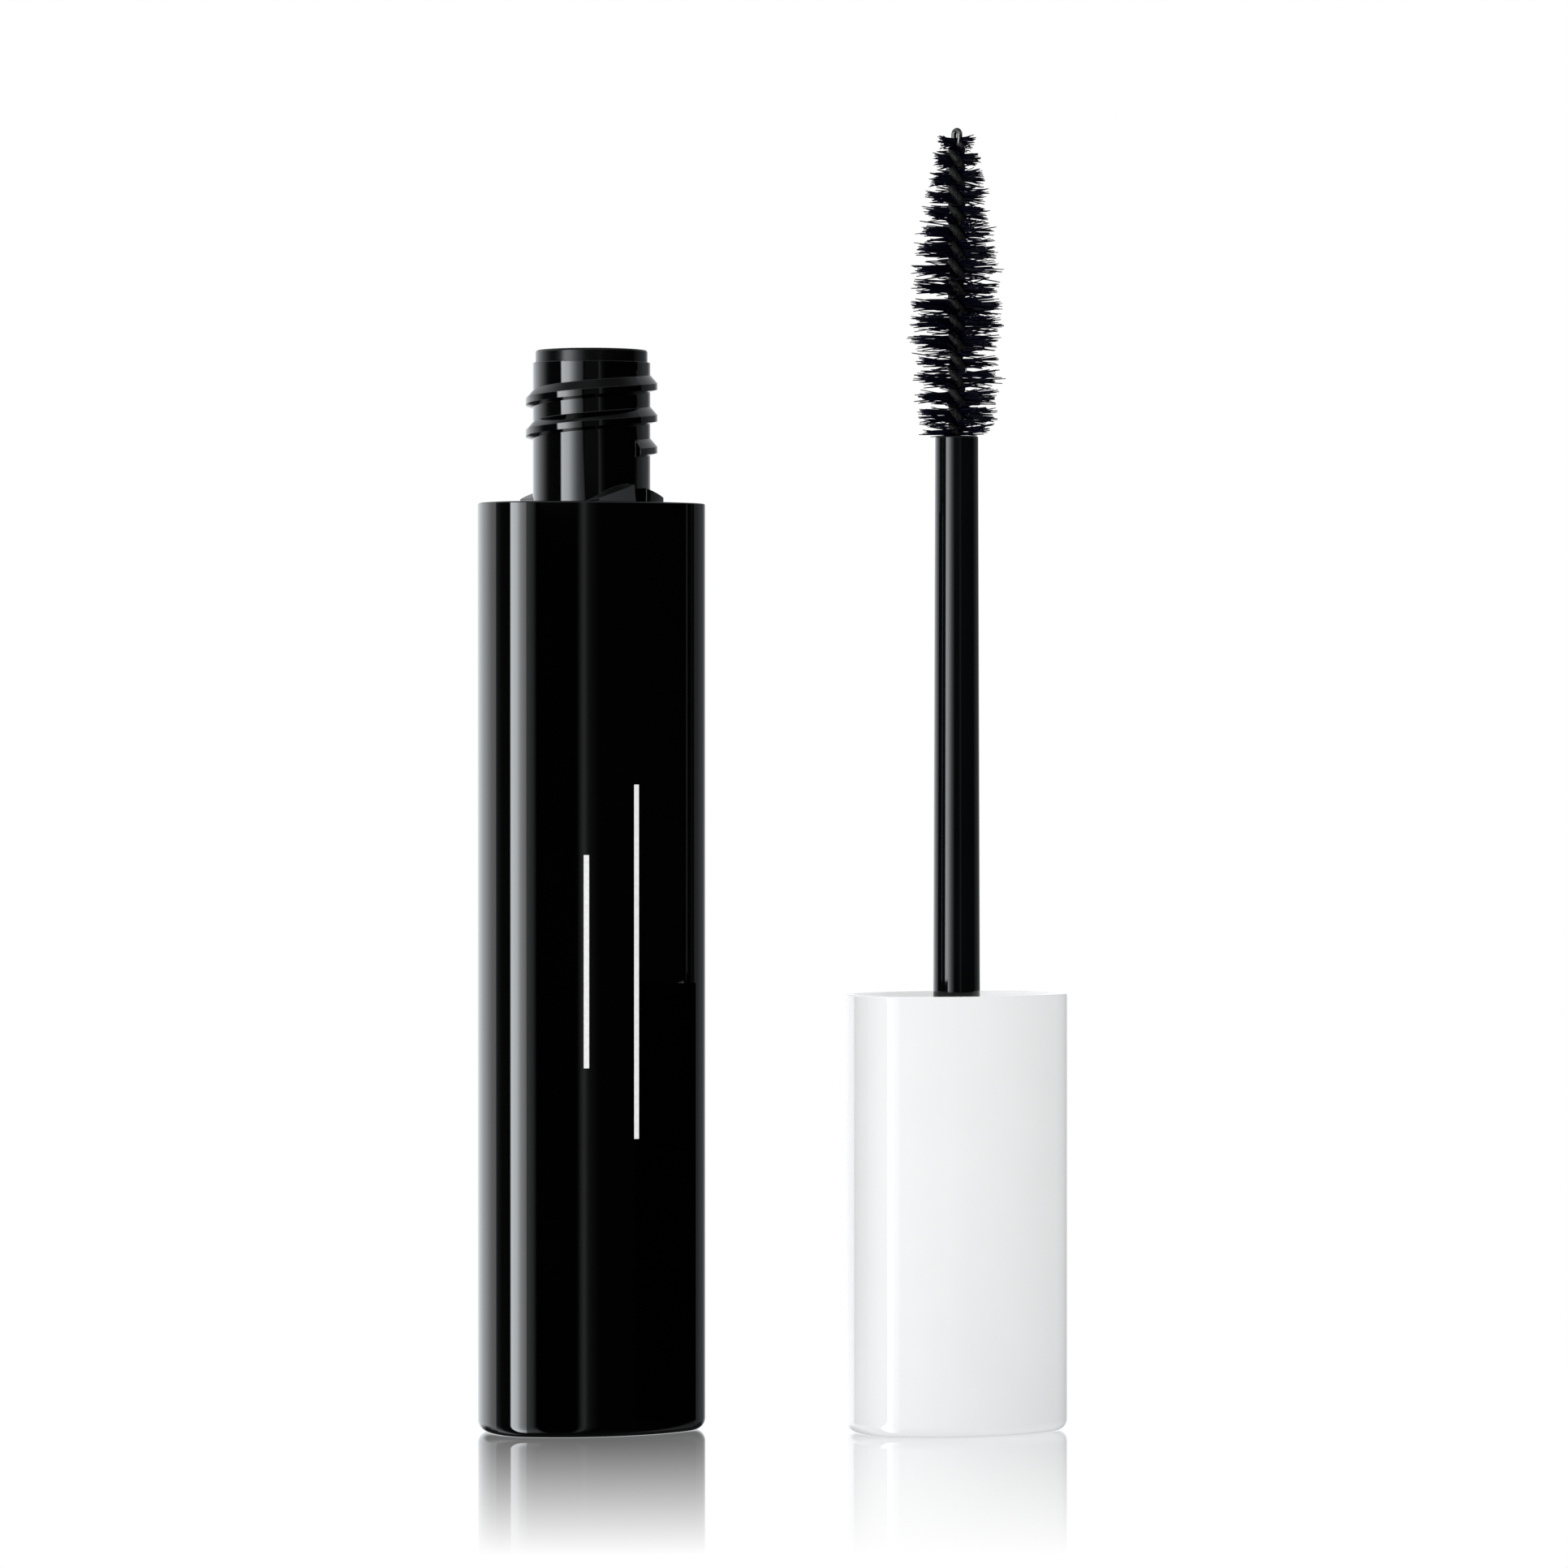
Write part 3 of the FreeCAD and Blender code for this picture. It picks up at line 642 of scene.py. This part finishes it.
def add_fibre(verts, faces, path, radii):
    """A thin closed rod along a nearly level path."""
    start = len(verts)
    first, last = path[0], path[-1]
    length = math.hypot(last[0] - first[0], last[1] - first[1])
    side = ((first[1] - last[1]) / length, (last[0] - first[0]) / length)
    for (x, y, z), radius in zip(path, radii):
        for number in range(FIBRE_SIDES):
            angle = 2 * math.pi * number / FIBRE_SIDES
            across = radius * math.cos(angle)
            verts.append((x + across * side[0], y + across * side[1], z + radius * math.sin(angle)))
    for ring in range(len(path) - 1):
        low = start + ring * FIBRE_SIDES
        for number in range(FIBRE_SIDES):
            here = low + number
            beside = low + (number + 1) % FIBRE_SIDES
            faces.append((here, beside, beside + FIBRE_SIDES, here + FIBRE_SIDES))
    faces.append(tuple(range(start + FIBRE_SIDES - 1, start - 1, -1)))
    end = start + (len(path) - 1) * FIBRE_SIDES
    faces.append(tuple(range(end, end + FIBRE_SIDES)))


def make_print_line(name, across, low, high, material):
    """A plain printed line that follows the bottle's front face, a hair proud of it."""
    half_depth = -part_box("outer_sleeve")[0].y
    verts, faces = [], []
    for step in range(PRINT_STEPS + 1):
        height = low + (high - low) * step / PRINT_STEPS
        for lift in (0.0, PRINT_LIFT):
            for column in range(PRINT_COLUMNS):
                x = across + PRINT_WIDTH * (column / (PRINT_COLUMNS - 1) - 0.5)
                bulge = math.sqrt((SLEEVE_FACE_RADIUS + lift) ** 2 - x * x)
                verts.append((x, SLEEVE_FACE_RADIUS - half_depth - bulge, height))
    ring = 2 * PRINT_COLUMNS
    order = list(range(PRINT_COLUMNS)) + list(range(ring - 1, PRINT_COLUMNS - 1, -1))
    for step in range(PRINT_STEPS):
        for number in range(ring):
            here = order[number] + step * ring
            beside = order[(number + 1) % ring] + step * ring
            faces.append((here, beside, beside + ring, here + ring))
    faces.append(tuple(order)[::-1])
    faces.append(tuple(number + PRINT_STEPS * ring for number in order))
    mesh_piece(name, verts, faces, material, "bottle", smooth=False)


def make_camera():
    data = bpy.data.cameras.new("camera")
    data.lens = CAMERA_LENS
    data.sensor_width = 36.0
    data.clip_end = 50.0
    camera = bpy.data.objects.new("camera", data)
    bpy.context.scene.collection.objects.link(camera)
    middle = ACROSS * CAMERA_ACROSS
    camera.location = middle + TOWARD * CAMERA_DISTANCE + Vector((0.0, 0.0, CAMERA_HEIGHT))
    aim = middle + Vector((0.0, 0.0, AIM_HEIGHT)) - camera.location
    camera.rotation_euler = aim.to_track_quat("-Z", "Y").to_euler()
    bpy.context.scene.camera = camera


def ring_of_bands(tree, maths, azimuth):
    """Soft boxes and dark gaps round the object, as a colour ramp by azimuth."""
    ramp = tree.nodes.new("ShaderNodeValToRGB")
    elements = ramp.color_ramp.elements
    while len(elements) > 1:
        elements.remove(elements[-1])
    for number, (angle, radiance) in enumerate(STUDIO_BANDS):
        place = (angle + 180) / 360
        element = elements[0] if number == 0 else elements.new(place)
        element.position = place
        share = radiance / STUDIO_PEAK
        element.color = (share, share, share, 1.0)
    turn = maths.number("ADD", maths.number("DIVIDE", azimuth, 360.0), 0.5)
    tree.links.new(turn, ramp.inputs["Fac"])
    return maths.number("MULTIPLY", ramp.outputs["Color"], STUDIO_PEAK)


def light_for_reflections(tree, maths, azimuth, elevation):
    """The bands and a card near the horizon, a broad light above, and little from below."""
    aside = maths.number("ABSOLUTE", azimuth)
    depth = maths.number("MULTIPLY", elevation, -1.0)
    wide = maths.inverse(maths.step(aside, CARD_HALF_WIDTH, CARD_HALF_WIDTH + 1))
    card = maths.number("MULTIPLY", wide, maths.step(elevation, *CARD_EDGE_ELEVATION))
    card = maths.number("MULTIPLY", card, CARD_RADIANCE)
    bands = maths.number("ADD", ring_of_bands(tree, maths, azimuth), card)

    swing = maths.number("SUBTRACT", azimuth, TOP_SWING_CENTRE)
    swing = maths.number("COSINE", maths.number("MULTIPLY", swing, math.pi / 180))
    top = maths.number("ADD", maths.number("MULTIPLY", swing, TOP_SWING), TOP_RADIANCE)
    fall = maths.number("MULTIPLY", maths.step(elevation, *ZENITH_ELEVATION), 1 - ZENITH_SHARE)
    top = maths.number("MULTIPLY", top, maths.inverse(fall))
    is_up = maths.step(elevation, *HORIZON)
    top = maths.number("MULTIPLY", top, is_up)
    below = maths.number("MULTIPLY", maths.inverse(is_up), BELOW_RADIANCE)

    leave = maths.number("ADD", maths.step(elevation, *BAND_TOP), maths.step(depth, *BAND_FOOT))
    behind = maths.step(aside, *FLOOR_SHADOW_EDGE)
    shadow = maths.number("MULTIPLY", behind, maths.step(depth, *FLOOR_SHADOW_FALL))
    leave = maths.number("MAXIMUM", leave, shadow)
    near = maths.number("MULTIPLY", bands, maths.inverse(leave))
    far = maths.number("MULTIPLY", maths.number("ADD", top, below), leave)
    light = maths.number("ADD", near, far)
    tinted = tree.nodes.new("ShaderNodeVectorMath")
    tinted.operation = "SCALE"
    tinted.inputs[0].default_value = LIGHT_TINT
    tree.links.new(light, tinted.inputs["Scale"])
    return tinted.outputs["Vector"]


def light_for_matt_surfaces(maths, azimuth):
    """An even light, stronger from the left and weaker from the right and from behind."""
    leftward = maths.number("MULTIPLY", azimuth, -1.0)
    left = maths.between(leftward, FILL_LEFT_EDGE, FILL_LEFT_END)
    shade = maths.between(azimuth, FILL_SHADE_EDGE, FILL_SHADE_END)
    rear = maths.step(maths.number("ABSOLUTE", azimuth), *FILL_REAR_EDGE)
    even = maths.number("ADD", 1.0, maths.number("MULTIPLY", left, FILL_LEFT))
    even = maths.number("SUBTRACT", even, maths.number("MULTIPLY", shade, FILL_SHADE))
    even = maths.number("SUBTRACT", even, maths.number("MULTIPLY", rear, FILL_REAR))
    even = maths.number("MAXIMUM", even, 0.0)
    return maths.number("MULTIPLY", even, FILL_RADIANCE)


def make_studio():
    """The world: a light for reflections, one for matt surfaces, and plain white behind it all."""
    world = bpy.data.worlds.new("studio")
    bpy.context.scene.world = world
    world.use_nodes = True
    world.cycles.sampling_method = "NONE"
    tree = world.node_tree
    maths = Maths(tree)
    direction = tree.nodes.new("ShaderNodeTexCoord").outputs["Generated"]
    across = maths.dot(direction, ACROSS)
    toward = maths.dot(direction, TOWARD)
    up = maths.dot(direction, (0.0, 0.0, 1.0))
    azimuth = maths.number("MULTIPLY", maths.number("ARCTAN2", across, toward), 180 / math.pi)
    elevation = maths.number("MULTIPLY", maths.number("ARCSINE", up), 180 / math.pi)
    reflected = tree.nodes["Background"]
    bright = light_for_reflections(tree, maths, azimuth, elevation)
    tree.links.new(bright, reflected.inputs["Color"])
    fill = tree.nodes.new("ShaderNodeBackground")
    tree.links.new(light_for_matt_surfaces(maths, azimuth), fill.inputs["Color"])
    seen = tree.nodes.new("ShaderNodeBackground")
    seen.inputs["Color"].default_value = (1.0, 1.0, 1.0, 1.0)
    ray = tree.nodes.new("ShaderNodeLightPath")
    shader = reflected.outputs["Background"]
    for kind, other in (("Is Diffuse Ray", fill), ("Is Camera Ray", seen)):
        choose = tree.nodes.new("ShaderNodeMixShader")
        tree.links.new(ray.outputs[kind], choose.inputs["Fac"])
        tree.links.new(shader, choose.inputs[1])
        tree.links.new(other.outputs["Background"], choose.inputs[2])
        shader = choose.outputs["Shader"]
    tree.links.new(shader, tree.nodes["World Output"].inputs["Surface"])


def make_floor():
    """A plain white floor with a mirror image of the object that fades away from its foot."""
    mesh = bpy.data.meshes.new("floor")
    verts = []
    for number in range(FLOOR_SIDES):
        angle = 2 * math.pi * number / FLOOR_SIDES
        verts.append((FLOOR_RADIUS * math.cos(angle), FLOOR_RADIUS * math.sin(angle), -FLOOR_DROP))
    mesh.from_pydata(verts, [], [tuple(range(FLOOR_SIDES))])
    floor = bpy.data.objects.new("floor", mesh)
    bpy.context.scene.collection.objects.link(floor)
    material = bpy.data.materials.new("floor_white")
    material.use_nodes = True
    mesh.materials.append(material)
    tree = material.node_tree
    maths = Maths(tree)
    tree.nodes.remove(tree.nodes["Principled BSDF"])
    place = tree.nodes.new("ShaderNodeTexCoord").outputs["Object"]
    away = []
    for centre in (Vector((0.0, 0.0, 0.0)), Vector((BRUSH_AXIS.x, BRUSH_AXIS.y, 0.0))):
        distance = tree.nodes.new("ShaderNodeVectorMath")
        distance.operation = "DISTANCE"
        tree.links.new(place, distance.inputs[0])
        distance.inputs[1].default_value = centre
        away.append(distance.outputs["Value"])
    nearest = maths.number("MINIMUM", *away)
    gone = maths.number("DIVIDE", maths.number("SUBTRACT", nearest, MIRROR_START), MIRROR_FADE)
    gone = maths.number("MINIMUM", maths.number("MAXIMUM", gone, 0.0), 1.0)
    grey = maths.number("ADD", maths.number("MULTIPLY", gone, 1 - MIRROR_GREY), MIRROR_GREY)
    strength = maths.inverse(maths.number("POWER", grey, MIRROR_GAMMA))
    facing = tree.nodes.new("ShaderNodeLayerWeight").outputs["Facing"]
    glance = maths.number("DIVIDE", maths.number("POWER", facing, MIRROR_POWER), MIRROR_FACING)
    strength = maths.number("MULTIPLY", strength, maths.number("MINIMUM", glance, 1.0))
    white = tree.nodes.new("ShaderNodeEmission")
    mirror = tree.nodes.new("ShaderNodeBsdfGlossy")
    mirror.inputs["Roughness"].default_value = MIRROR_ROUGHNESS
    mirror.inputs["Color"].default_value = (1.0, 1.0, 1.0, 1.0)
    mix = tree.nodes.new("ShaderNodeMixShader")
    tree.links.new(strength, mix.inputs["Fac"])
    tree.links.new(white.outputs["Emission"], mix.inputs[1])
    tree.links.new(mirror.outputs["BSDF"], mix.inputs[2])
    tree.links.new(mix.outputs["Shader"], tree.nodes["Material Output"].inputs["Surface"])
    floor.visible_glossy = False


def make_flag():
    """A black card, edge-on to the camera, that only reflections can see."""
    mesh = bpy.data.meshes.new("flag")
    near, far = [ACROSS * FLAG_ACROSS + TOWARD * depth for depth in FLAG_TOWARD]
    lift = Vector((0.0, 0.0, FLAG_HEIGHT))
    mesh.from_pydata([near, far, far + lift, near + lift], [], [(0, 1, 2, 3)])
    flag = bpy.data.objects.new("flag", mesh)
    bpy.context.scene.collection.objects.link(flag)
    material, _, shader = node_tree("flag_black")
    shader.inputs["Base Color"].default_value = (0.0, 0.0, 0.0, 1.0)
    shader.inputs["Specular IOR Level"].default_value = 0.0
    mesh.materials.append(material)
    flag.visible_camera = False
    flag.visible_diffuse = False
    flag.visible_shadow = False
    flag.visible_transmission = False


def dress_cad_nodes():
    """Materials for the CAD solids that stay visible."""
    for node, look in PLASTICS.items():
        give(node, moulded_plastic(**look))
    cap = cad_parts["cap_shell"]
    centre = cap.matrix_world.inverted() @ BRUSH_AXIS
    # Painted glow on the inside of the cap shell, where its wall is in shade
    paint_inner_glow(cap.material_slots[0].material, centre, PAINTED_INNER_GLOW)
    give("mascara_formula", paste_material())
    give("seal_washer", foam_material())


def main():
    make_camera()
    make_studio()
    make_floor()
    make_flag()
    dress_cad_nodes()
    make_wire()
    make_fibres()
    ink = ink_material()
    for name, (across, low, high) in PRINT_LINES.items():
        make_print_line(name, across, low, high, ink)
    bpy.context.scene.view_settings.view_transform = "Standard"
    bpy.context.scene.view_settings.look = "None"


main()
